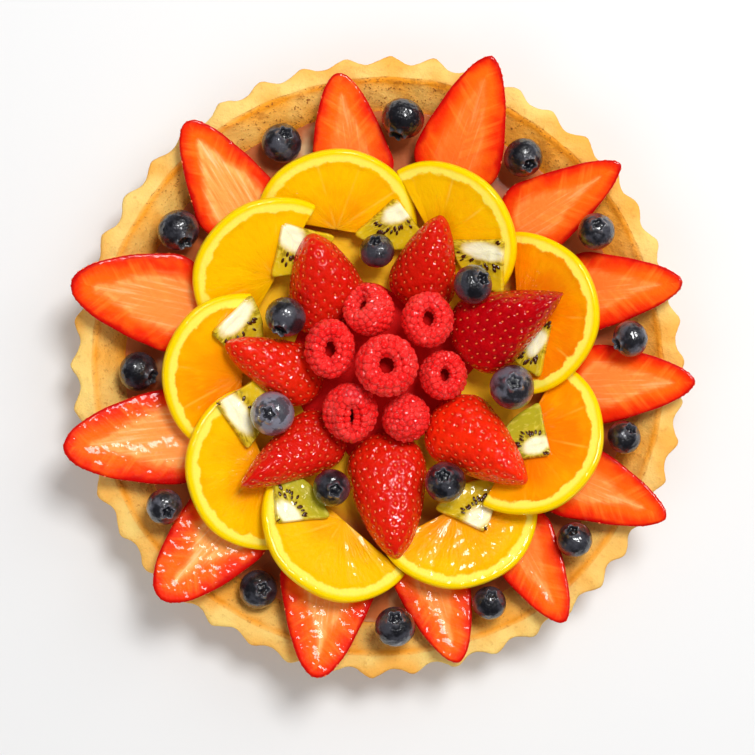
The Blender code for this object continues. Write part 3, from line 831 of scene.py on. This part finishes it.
side = KIWI_OPENING / 2
arc = [polar(KIWI_REACH, t) for t in np.linspace(-side, side, 9)]
nose = [polar(1.5, side), (1.2, 0.0), polar(1.5, -side)]
right = [polar(r, -side) for r in (7.0, 13.0)]
left = [polar(r, side) for r in (13.0, 7.0)]
outline = smooth_outline(np.array(nose[2:] + right + arc + left + nose[:2]), KIWI_POINTS)
draw = np.random.default_rng(11)
seed_points, seed_ways, seed_sizes = [], [], []
for number, (axes, middle, point, heading, height) in enumerate(kiwi_places, 1):
    along, across, tilt, half_long, half_wide, green = KIWI_CORES[number - 1]
    thick = height - KIWI_FOOT - 0.2
    body = [(f, 0.0) for f in (0.0, 0.4, 0.8, 0.94)] + [
        (0.985, 0.25), (1.0, 0.8), (1.0, thick - 0.9), (0.985, thick - 0.3),
    ]
    body += [(f, thick + 0.12 * math.sin(9 * f)) for f in np.linspace(0.955, 0.0, 24)]
    # A matrix that swings flat places to the wedge's heading.
    turn = swung(*np.eye(2), heading)
    rings, cores = [], []
    tilt = math.radians(tilt)
    for share, rise in body:
        flat = KIWI_MIDDLE + (outline - KIWI_MIDDLE) * share
        long, wide = swung(*(flat - (along, across)).T, -tilt)
        long, wide = long / half_long, wide / half_wide
        core = np.hypot(long, wide), np.arctan2(wide, long), np.full(len(flat), green)
        cores.append(np.column_stack(core))
        rings.append(np.column_stack((flat @ turn.T + point, np.full(len(flat), KIWI_FOOT + rise))))
    world = middle + (np.array(rings) * MM) @ axes.T
    mesh = closed_mesh(f"kiwi_{number:02d}", world, kiwi_finish, core=cores)
    piece(f"kiwi_wedge_{number:02d}", mesh, "kiwi", f"orange_and_kiwi_{number:02d}")
    for step in range(KIWI_SEEDS):
        around_core = 2 * math.pi * (step + draw.uniform(-0.35, 0.35)) / KIWI_SEEDS
        away = draw.uniform(1.28, 1.62) + (0.45 if draw.random() < 0.4 else 0)
        long, wide = away * half_long * math.cos(around_core), away * half_wide * math.sin(around_core)
        way = swung(long, wide, tilt)
        spot = way + (along, across)
        inside = abs(math.atan2(spot[1], spot[0])) < side - 0.12 and np.hypot(*spot) < KIWI_REACH - 2
        keep = draw.random() < 0.72
        size = draw.uniform(0.75, 1.1)
        if not (inside and keep):
            continue
        flat = np.append(turn @ spot + point, KIWI_FOOT + thick + 0.05)
        seed_points.append(middle + axes @ flat * MM)
        seed_ways.append(axes @ np.append(turn @ way / np.hypot(*way), 0))
        seed_sizes.append(size)

sown, given = node_tree("sown seeds", Seed_length="Float", Seed_width="Float", Finish="Material")
seed = wire(sown, "GeometryNodeMeshIcoSphere", 1.0, 2)
shape = vector(given["Seed length"], given["Seed width"], times(given["Seed width"], 0.6))
way = field(sown, "way", "FLOAT_VECTOR")
size = field(sown, "size")
turned_seed = wire(sown, "FunctionNodeAlignRotationToVector", None, 1.0, way, axis="X")
shape = vector_math("SCALE", shape, size)
seeds = wire(
    sown, "GeometryNodeInstanceOnPoints", given["Geometry"], True, seed, False, 0, turned_seed, shape,
)
end_tree(sown, made_real(sown, seeds, given["Finish"]))
piece(
    "kiwi_seeds",
    grown(
        point_cloud("kiwi seeds", seed_points, seed_ways, seed_sizes), sown, Seed_length=1.1 * MM,
        Seed_width=0.58 * MM, Finish=seed_dark,
    ),
    "kiwi",
)

# ---------------- blueberries
# Whole glazed blueberries: near-black skin under a grey bloom, with the dried crown of the flower round a
# pit. Thirteen lie between the strawberry slices and seven on the inner ring.

# Heading and lean of the crown in degrees, and how strong the bloom is.
OUTER_BERRIES = (
    (250, 70, 0.03), (60, 30, 0.28), (300, 50, 0.15), (340, 60, 0.14), (320, 25, 0.45), (20, 20, 0.22),
    (90, 35, 0.22), (80, 35, 0.22), (110, 40, 0.20), (60, 40, 0.26), (200, 65, 0.40), (90, 20, 0.25),
    (300, 35, 0.15),
)
INNER_BERRIES = (
    (100, 35, 0.18), (30, 35, 0.18), (80, 15, 0.55), (110, 25, 0.18), (340, 15, 0.18), (180, 10, 2.50),
    (250, 50, 0.28),
)
BERRY_AROUND = 80
BERRY_SNUG = 0.99
# Radius of the crown and depth of the pit as shares of the berry's radius.
CROWN_RADIUS = 0.36
PIT_DEPTH = 0.17

blueberry, shader, here = shaded("blueberry skin", 0.34, coat=(1.0, 0.05))
crown = stored(here, "crown", 2)
bloom = stored(here, "bloom", 2)
clouds = spots(here, 190.0, 3.0)
specks = spots(here, 1400.0, 2.0)
cover = times(math_node("MULTIPLY_ADD", ramp(clouds, 0.42, 0.60), 0.88, 0.12), bloom)
colour = mixed(cover, (0.003, 0.003, 0.005), (0.19, 0.19, 0.235))
colour = tinted(colour, (0.13, 0.13, 0.17), ramp(specks, 0.60, 0.75), 0.22)
colour = tinted(colour, (0.13, 0.13, 0.15), crown, 0.5)
colour = tinted(colour, (0.004, 0.004, 0.008), ramp(crown, -0.2, -0.9))
finished(shader, colour, plus(specks, clouds), 0.00025, spots(here, 480.0, 0.6), 0.0007)


def berry_points(number):
    """Rings of a unit blueberry from its crown at +Z to its foot, and how far each is crown or pit."""
    turn = circle(BERRY_AROUND)
    away = np.concatenate((np.linspace(0, 0.62, 26), np.linspace(0.66, 1, 9)[:-1]))
    fall = np.concatenate((np.arcsin(away), np.linspace(math.pi / 2, math.pi, 16)))
    star = np.cos(5 * turn + number)
    rag = 0.3 * np.cos(11 * turn + 2 * number) + 0.2 * np.cos(17 * turn + number)
    rim = CROWN_RADIUS + 0.045 * star + 0.02 * rag
    rings, crowns = [], []
    for angle in fall:
        flat = math.sin(angle)
        upper = math.cos(angle) > 0
        lip = np.exp(-(((flat - rim) / 0.075) ** 2)) * (0.085 + 0.05 * star + 0.02 * rag) * upper
        pit = np.clip((rim - 0.03 - flat) / 0.10, 0, 1) * upper
        knob = 0.05 * math.exp(-((flat / 0.07) ** 2)) * upper
        height = 0.90 * math.cos(angle) + lip - PIT_DEPTH * pit * pit * (3 - 2 * pit) + knob
        width = 0.985 * flat * (1 + 0.008 * np.cos(3 * turn + number))
        rings.append(turned(width, height, turn))
        crowns.append(lip / 0.11 - pit * 0.8)
    return np.array(rings), np.array(crowns)


def seated(rings, node):
    """The rings scaled and moved so that they fill the box of their solid."""
    low, high = (np.array(corner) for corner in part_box(node))
    flat = rings.reshape(-1, 3)
    first, last = flat.min(0), flat.max(0)
    scale = ((high - low)[:2] / (last - first)[:2]).mean() * BERRY_SNUG
    return (rings - (first + last) / 2) * scale + (low + high) / 2


def leaned(rings, heading, lean):
    turn = Matrix.Rotation(math.radians(lean), 3, Vector((
        math.cos(math.radians(heading + 90)), math.sin(math.radians(heading + 90)), 0)))
    return rings @ np.array(turn).T


for prefix, berries in (("outer_blueberry", OUTER_BERRIES), ("inner_blueberry", INNER_BERRIES)):
    for number, (heading, lean, dusty) in enumerate(berries, 1):
        node = f"{prefix}_{number:02d}"
        rings, crowns = berry_points(number + len(berries))
        rings = seated(leaned(rings, heading, lean), node)
        mesh = closed_mesh(node, rings, blueberry, crown=crowns, bloom=[[dusty]])
        piece(f"glazed_{node}", mesh, "blueberry", node)

# ---------------- halves of strawberry
# Small strawberries cut in half and laid skin up round the raspberries, deep red and shiny, their seeds
# each in a dimple. The cut side rests on the orange.

HALF_AROUND = 252
# Thickness as a share of the width.
HALF_THICKNESS = 0.38
# How red the skin is (0 dark and ripe, 1 orange-red), how far apart the seeds are (mm), and their draw.
HALF_LOOKS = (
    (0.50, 2.9, 1), (0.45, 2.8, 2), (0.0, 3.0, 3), (1.0, 2.8, 4), (0.60, 2.8, 5), (0.50, 2.8, 6),
    (0.75, 2.8, 7),
)

half_skin, shader, here = shaded(
    "strawberry skin", 0.35, specular=0.06, coat=(1.0, 0.05), soft=(0.1, (1.0, 0.1, 0.05), 0.0015),
)
unripe = parts(stored(here, "looks", 1))[0]
along = parts(stored(here, "berry", 1))[0]
mottled = spots(here, 140.0, 3.0)
colour = mixed(unripe, (0.40, 0.0003, 0.003), (0.82, 0.020, 0.002))
colour = tinted(colour, (0.62, 0.002, 0.003), ramp(mottled, 0.42, 0.66), 0.4)
colour = tinted(colour, (0.76, 0.010, 0.003), ramp(along, 12.0, 0.0), 0.25)
relief = plus(mottled, spots(here, 900.0, 2.0))
finished(shader, colour, relief, 0.0003, spots(here, 430.0, 1.6), 0.0009)

for number, (redness, apart, chance) in enumerate(HALF_LOOKS, 1):
    node = f"strawberry_half_{number:02d}"
    corners = cut_berry(node, False)[3]
    thick = HALF_THICKNESS * 2 * abs(corners[:, 1]).max() / MM
    dome = [(f, thick * (1 - f**2.3) ** 0.42, 1.0) for f in np.sin(np.linspace(0, math.pi / 2, 84))]
    cut = [(f, 0.0, 0.0) for f in (0.97, 0.8, 0.5, 0.0)]
    mesh = berry_mesh(node, False, dome + cut, (0.34, 0.60), (redness, 0, 0), 0.02, HALF_AROUND, half_skin)
    mesh = grown(
        mesh, seeded, Spacing=apart * MM, Dimple=0.60 * MM, Dimple_width=0.95 * MM, Seed_width=0.38 * MM,
        Sunk=0.42 * MM, Draw=chance, Seed_finish=seed_gold,
    )
    piece(f"skin_up_{node}", mesh, "strawberry", node)

# ---------------- raspberries
# Whole raspberries set hollow side up in the middle, one of them point up. Each is a thin cup of drupelets:
# the drupelets sit in rows that turn half a step from one row to the next, and are set on the cup by nodes.

# Heading and lean of the hollow in degrees, how far its opening is squeezed to a slit, and how much longer
# the berry is along Y than along X.
RASPBERRIES = (
    (140, 46, 0.15, 1.0), (300, 8, 0.2, 1.16), (0, 180, 0.0, 1.0), (290, 20, 0.6, 0.97), (0, 6, 0.3, 0.97),
    (60, 10, 0.2, 1.03), (90, 4, 0.1, 0.98),
)
# Radius and height of the seats of the drupelets as shares of the berry's radius, from its end to its
# hollow.
SEATS = (
    (0, -0.92), (0.30, -0.85), (0.55, -0.67), (0.75, -0.38), (0.84, -0.02), (0.84, 0.30), (0.76, 0.55),
    (0.60, 0.66), (0.46, 0.60), (0.37, 0.40),
)
# The same of the cup that the drupelets sit on. Its last points are the hollow.
CUP = (
    (0, -0.90), (0.5, -0.68), (0.76, -0.30), (0.83, 0.2), (0.70, 0.56), (0.55, 0.62), (0.40, 0.5),
    (0.33, 0.2), (0.24, -0.05), (0, -0.12),
)
HOLLOW_FROM = 0.64
CUP_AROUND = 40
ROWS = 13
# Radius of a drupelet as a share of the berry's, the inward ones' share of it, and the step between two.
DRUPELET = 0.132
INNER_DRUPELET = 0.82
DRUPELET_STEP = 1.86
# How much of its solid's width a raspberry takes, and how far it sinks.
SNUG = 0.955
LOWERED = 0.4 * MM

raspberry, shader, here = shaded(
    "raspberry drupelets", 0.45, specular=0.06, coat=(1.0, 0.03), soft=(0.45, (1.0, 0.14, 0.12), 0.0025),
)
shade = stored(here, "shade", 2)
patches = spots(here, 160.0, 2.0)
colour = mixed(shade, (0.80, 0.005, 0.006), (0.92, 0.020, 0.018))
colour = tinted(colour, (0.95, 0.050, 0.042), ramp(patches, 0.45, 0.68), 0.5)
# Fine pale pink specks: partly the berry's pale hairs, partly painted glints of light.
hairs_and_painted_glints = ramp(spots(here, 1500.0, 2.0, 0.7), 0.56, 0.66)
colour = tinted(colour, (0.98, 0.25, 0.22), hairs_and_painted_glints, 0.35)
finished(shader, colour, spots(here, 1100.0, 2.0), 0.0002, spots(here, 620.0, 1.0), 0.0008)

raspberry_core, shader, here = shaded("raspberry hollow", 0.6, specular=0.04)
# The walls of the hollow are painted a darker red than the rest of the cup: painted shade in the cavity.
deep = stored(here, "deep", 2)
colour = mixed(spots(here, 500.0), (0.60, 0.003, 0.003), (0.78, 0.008, 0.008))
finished(shader, tinted(colour, (0.42, 0.0004, 0.0004), deep))

clustered, given = node_tree("clustered drupelets", Draw="Int", Finish="Material")
drupelet = wire(clustered, "GeometryNodeMeshIcoSphere", 1.0, 2)
size = field(clustered, "size")
way = field(clustered, "way", "FLOAT_VECTOR")
is_seat = math_node("GREATER_THAN", size, 0.0)
chance = wire(clustered, "FunctionNodeRandomValue", 1.04, 1.34, None, given["Draw"], data_type="FLOAT")
stretch = vector_math("SCALE", (1.06, 1.06, 0.92), times(size, chance))
turned_drupelet = wire(clustered, "FunctionNodeAlignRotationToVector", None, 1.0, way, axis="Z")
fruit = wire(clustered, "GeometryNodeInstanceOnPoints", given["Geometry"], is_seat, drupelet, False, 0,
             turned_drupelet, stretch)
tint = wire(clustered, "FunctionNodeRandomValue", 0.0, 1.0, None, plus(given["Draw"], 7.0),
            data_type="FLOAT")
fruit = wire(
    clustered, "GeometryNodeStoreNamedAttribute", fruit, True, "shade", tint, data_type="FLOAT",
    domain="INSTANCE",
)
end_tree(clustered, made_real(clustered, fruit, given["Finish"]))


def shaped(away, turn, height, squeeze, longer):
    """A place on the berry, squeezed near its opening and drawn longer, before the berry leans."""
    pinch = 1 - squeeze * np.clip((height - 0.1) / 0.4, 0, 1) * np.where(away > 0.5, 0.5, 1)
    x = away * np.cos(turn) * pinch / math.sqrt(longer)
    return np.stack((x, away * np.sin(turn) * (1 + 0.15 * squeeze) * math.sqrt(longer), height + 0 * x), -1)


seats = eased(SEATS, 12)
run = np.concatenate(((0,), np.cumsum(np.linalg.norm(np.diff(seats, axis=0), axis=1))))
rows = np.stack([np.interp(np.linspace(0, run[-1], ROWS), run, seats[:, i]) for i in (0, 1)], -1)
for number, (heading, lean, squeeze, longer) in enumerate(RASPBERRIES, 1):
    node = f"raspberry_{number:02d}"
    low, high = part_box(node)
    radius = (high.x - low.x + high.y - low.y) / 4 * SNUG
    centres, ways, sizes = [], [], []
    for row, (away, height) in enumerate(rows):
        inward = away < 0.5 and height > 0.3
        size = DRUPELET * (INNER_DRUPELET if inward else 1)
        count = max(1, round(2 * math.pi * away / (DRUPELET_STEP * size)))
        turn = 2 * math.pi * (np.arange(count) + 0.5 * (row % 2)) / count + 0.3 * number
        turn = turn + draw.uniform(-0.16, 0.16, count) * size / max(away, size)
        strayed = away + draw.uniform(-0.02, 0.01, count)
        risen = height + draw.uniform(-0.03, 0.03, count)
        centres.append(shaped(strayed, turn, risen, squeeze, longer))
        ways.append(centres[-1] * (-1 if inward else 1, -1 if inward else 1, 1) + (0, 0, 0.001))
        sizes.append(np.full(count, size * radius))
    centres = leaned(np.concatenate(centres) * radius, heading, lean)
    ways = leaned(np.concatenate(ways), heading, lean)
    sizes = np.concatenate(sizes)
    away, height = np.hsplit(eased(CUP, 4), 2)
    cup = leaned(shaped(away, circle(CUP_AROUND), height, squeeze, longer) * radius, heading, lean)
    reach = sizes[:, None]
    lowest, highest = (centres - reach).min(0), (centres + reach).max(0)
    shift = np.array((low + high) / 2) - (lowest + highest) / 2 - (0, 0, LOWERED)
    cloud = point_cloud("drupelets", centres + shift, ways, sizes)
    mesh = grown(cloud, clustered, Draw=number, Finish=raspberry)
    piece(f"drupelets_{node}", mesh, "raspberry", node)
    # deep is 1 on the walls of the hollow, which its material darkens as painted shade.
    deep = np.linspace(0, 1, len(cup))[:, None] > HOLLOW_FROM
    piece(f"core_{node}", closed_mesh("core", cup + shift, raspberry_core, deep=deep), "raspberry", node)
